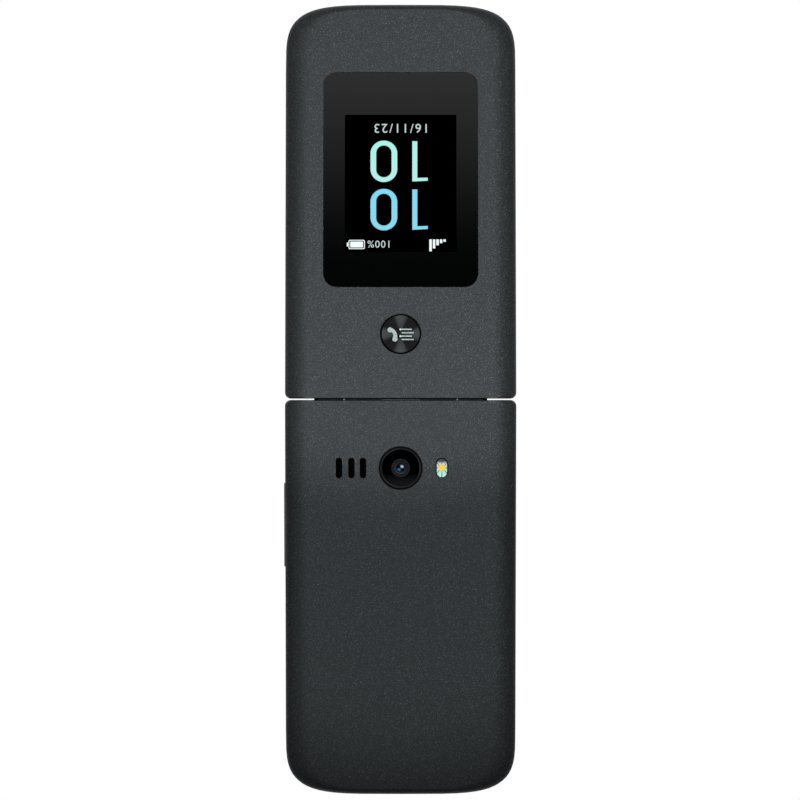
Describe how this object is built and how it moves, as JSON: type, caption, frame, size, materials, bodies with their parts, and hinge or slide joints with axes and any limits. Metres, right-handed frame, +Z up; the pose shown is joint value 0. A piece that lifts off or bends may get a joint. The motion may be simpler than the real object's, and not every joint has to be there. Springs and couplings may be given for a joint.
{
  "type": "flip phone",
  "caption": "Flip phone lying open on its back cover: keypad base, hinged lid with inner and outer displays, rear camera, sprung keys and a volume rocker.",
  "frame": {"origin": "centre of the plan of the open phone, on the surface that its back cover lies on", "axes": "+Z up out of the keypad, +Y from the keypad half towards the lid, +X to the right of a person who reads the keypad"},
  "size_m": [0.0581, 0.196, 0.0421],
  "materials": {
    "casing": "metallic grey paint, satin",
    "back_casing": "metallic grey paint, satin",
    "display_lens": "glossy black backed glass",
    "display_panel": "flat panel",
    "black_metal": "black anodised, spun",
    "camera_glass": "glossy",
    "steel": "plain",
    "board": "circuit board",
    "soft_rubber": "matt",
    "silicone": "translucent white",
    "chassis_plastic": "moulded",
    "dome_film": "foil",
    "battery_can": "foil wrapped cell",
    "gold_contact": "gold plated",
    "led_yellow": "phosphor",
    "flash_lens": "moulded lens",
    "key_black": "smooth black",
    "ring_metal": "satin dark metal"
  },
  "bodies": {
    "base": {"keypad_housing": "casing", "chassis": "chassis_plastic", "main_board": "board", "dome_sheet": "dome_film", "keypad_mat": "silicone", "battery": "battery_can", "battery_contacts": "gold_contact", "camera_module": "chassis_plastic", "camera_ring": "black_metal", "camera_window": "camera_glass", "flash_led": "led_yellow", "flash_lens": "flash_lens", "loudspeaker": "chassis_plastic", "usb_port": "steel", "headset_jack": "chassis_plastic", "card_sockets": "steel", "microphone": "gold_contact", "volume_switches": "steel", "chassis_screws": "steel", "hinge_module": "steel", "hinge_pin": "steel"},
    "lid": {"lid_outer_cover": "casing", "outer_display_lens": "display_lens", "outer_display_panel": "display_panel", "lid_key_switch": "steel", "lid_inner_frame": "casing", "main_display_lens": "display_lens", "main_display_panel": "display_panel", "earpiece_mesh": "steel", "earpiece_speaker": "steel", "lid_board": "board", "lid_bumpers": "soft_rubber", "vibration_motor": "steel", "lid_magnet": "steel"},
    "contacts_key": {"contacts_key": "black_metal"},
    "back_cover": {"back_cover": "back_casing", "speaker_mesh": "soft_rubber"},
    "volume_rocker": {"volume_rocker": "back_casing"},
    "nav_pad": {"nav_pad": "silicone"},
    "nav_ring": {"nav_ring": "ring_metal"},
    "ok_key": {"ok_key": "key_black"},
    "soft_key_left": {"soft_key_left": "key_black"},
    "soft_key_right": {"soft_key_right": "key_black"},
    "call_key": {"call_key": "key_black"},
    "clear_key": {"clear_key": "key_black"},
    "end_key": {"end_key": "key_black"},
    "key_1": {"key_1": "key_black"},
    "key_2": {"key_2": "key_black"},
    "key_3": {"key_3": "key_black"},
    "key_4": {"key_4": "key_black"},
    "key_5": {"key_5": "key_black"},
    "key_6": {"key_6": "key_black"},
    "key_7": {"key_7": "key_black"},
    "key_8": {"key_8": "key_black"},
    "key_9": {"key_9": "key_black"},
    "key_star": {"key_star": "key_black"},
    "key_0": {"key_0": "key_black"},
    "key_hash": {"key_hash": "key_black"}
  },
  "joints": [
    {"name": "lid_hinge", "type": "hinge", "parent": "base", "child": "lid", "pos_m": [0, 0.00183, 0.0093], "axis": [1, 0, 0], "range_deg": [0, 160]},
    {"name": "contacts_key_press", "type": "slide", "parent": "lid", "child": "contacts_key", "axis": [0, -0.342, 0.9397], "range_m": [0, 0.0003], "stiffness_N_per_m": 700, "springref_m": -0.001},
    {"name": "back_cover_lift", "type": "slide", "parent": "base", "child": "back_cover", "axis": [0, 0, -1], "range_m": [0, 0.012]},
    {"name": "volume_rocker_rock", "type": "hinge", "parent": "base", "child": "volume_rocker", "pos_m": [0.02685, -0.02967, 0.00695], "axis": [0, 0, 1], "range_deg": [-1.2, 1.2], "stiffness_Nm_per_rad": 0.3},
    {"name": "nav_rock_up_down", "type": "hinge", "parent": "base", "child": "nav_pad", "pos_m": [0, -0.02047, 0.008], "axis": [1, 0, 0], "range_deg": [-1, 1], "stiffness_Nm_per_rad": 0.25},
    {"name": "nav_rock_left_right", "type": "hinge", "parent": "nav_pad", "child": "nav_ring", "pos_m": [0, -0.02047, 0.0086], "axis": [0, 1, 0], "range_deg": [-1, 1], "stiffness_Nm_per_rad": 0.25},
    {"name": "ok_key_press", "type": "slide", "parent": "nav_ring", "child": "ok_key", "axis": [0, 0, -1], "range_m": [0, 0.0004], "stiffness_N_per_m": 700, "springref_m": -0.001},
    {"name": "soft_key_left_press", "type": "slide", "parent": "base", "child": "soft_key_left", "axis": [0, 0, -1], "range_m": [0, 0.0004], "stiffness_N_per_m": 700, "springref_m": -0.001},
    {"name": "soft_key_right_press", "type": "slide", "parent": "base", "child": "soft_key_right", "axis": [0, 0, -1], "range_m": [0, 0.0004], "stiffness_N_per_m": 700, "springref_m": -0.001},
    {"name": "call_key_press", "type": "slide", "parent": "base", "child": "call_key", "axis": [0, 0, -1], "range_m": [0, 0.0004], "stiffness_N_per_m": 700, "springref_m": -0.001},
    {"name": "clear_key_press", "type": "slide", "parent": "base", "child": "clear_key", "axis": [0, 0, -1], "range_m": [0, 0.0004], "stiffness_N_per_m": 700, "springref_m": -0.001},
    {"name": "end_key_press", "type": "slide", "parent": "base", "child": "end_key", "axis": [0, 0, -1], "range_m": [0, 0.0004], "stiffness_N_per_m": 700, "springref_m": -0.001},
    {"name": "key_1_press", "type": "slide", "parent": "base", "child": "key_1", "axis": [0, 0, -1], "range_m": [0, 0.0004], "stiffness_N_per_m": 700, "springref_m": -0.001},
    {"name": "key_2_press", "type": "slide", "parent": "base", "child": "key_2", "axis": [0, 0, -1], "range_m": [0, 0.0004], "stiffness_N_per_m": 700, "springref_m": -0.001},
    {"name": "key_3_press", "type": "slide", "parent": "base", "child": "key_3", "axis": [0, 0, -1], "range_m": [0, 0.0004], "stiffness_N_per_m": 700, "springref_m": -0.001},
    {"name": "key_4_press", "type": "slide", "parent": "base", "child": "key_4", "axis": [0, 0, -1], "range_m": [0, 0.0004], "stiffness_N_per_m": 700, "springref_m": -0.001},
    {"name": "key_5_press", "type": "slide", "parent": "base", "child": "key_5", "axis": [0, 0, -1], "range_m": [0, 0.0004], "stiffness_N_per_m": 700, "springref_m": -0.001},
    {"name": "key_6_press", "type": "slide", "parent": "base", "child": "key_6", "axis": [0, 0, -1], "range_m": [0, 0.0004], "stiffness_N_per_m": 700, "springref_m": -0.001},
    {"name": "key_7_press", "type": "slide", "parent": "base", "child": "key_7", "axis": [0, 0, -1], "range_m": [0, 0.0004], "stiffness_N_per_m": 700, "springref_m": -0.001},
    {"name": "key_8_press", "type": "slide", "parent": "base", "child": "key_8", "axis": [0, 0, -1], "range_m": [0, 0.0004], "stiffness_N_per_m": 700, "springref_m": -0.001},
    {"name": "key_9_press", "type": "slide", "parent": "base", "child": "key_9", "axis": [0, 0, -1], "range_m": [0, 0.0004], "stiffness_N_per_m": 700, "springref_m": -0.001},
    {"name": "key_star_press", "type": "slide", "parent": "base", "child": "key_star", "axis": [0, 0, -1], "range_m": [0, 0.0004], "stiffness_N_per_m": 700, "springref_m": -0.001},
    {"name": "key_0_press", "type": "slide", "parent": "base", "child": "key_0", "axis": [0, 0, -1], "range_m": [0, 0.0004], "stiffness_N_per_m": 700, "springref_m": -0.001},
    {"name": "key_hash_press", "type": "slide", "parent": "base", "child": "key_hash", "axis": [0, 0, -1], "range_m": [0, 0.0004], "stiffness_N_per_m": 700, "springref_m": -0.001}
  ]
}
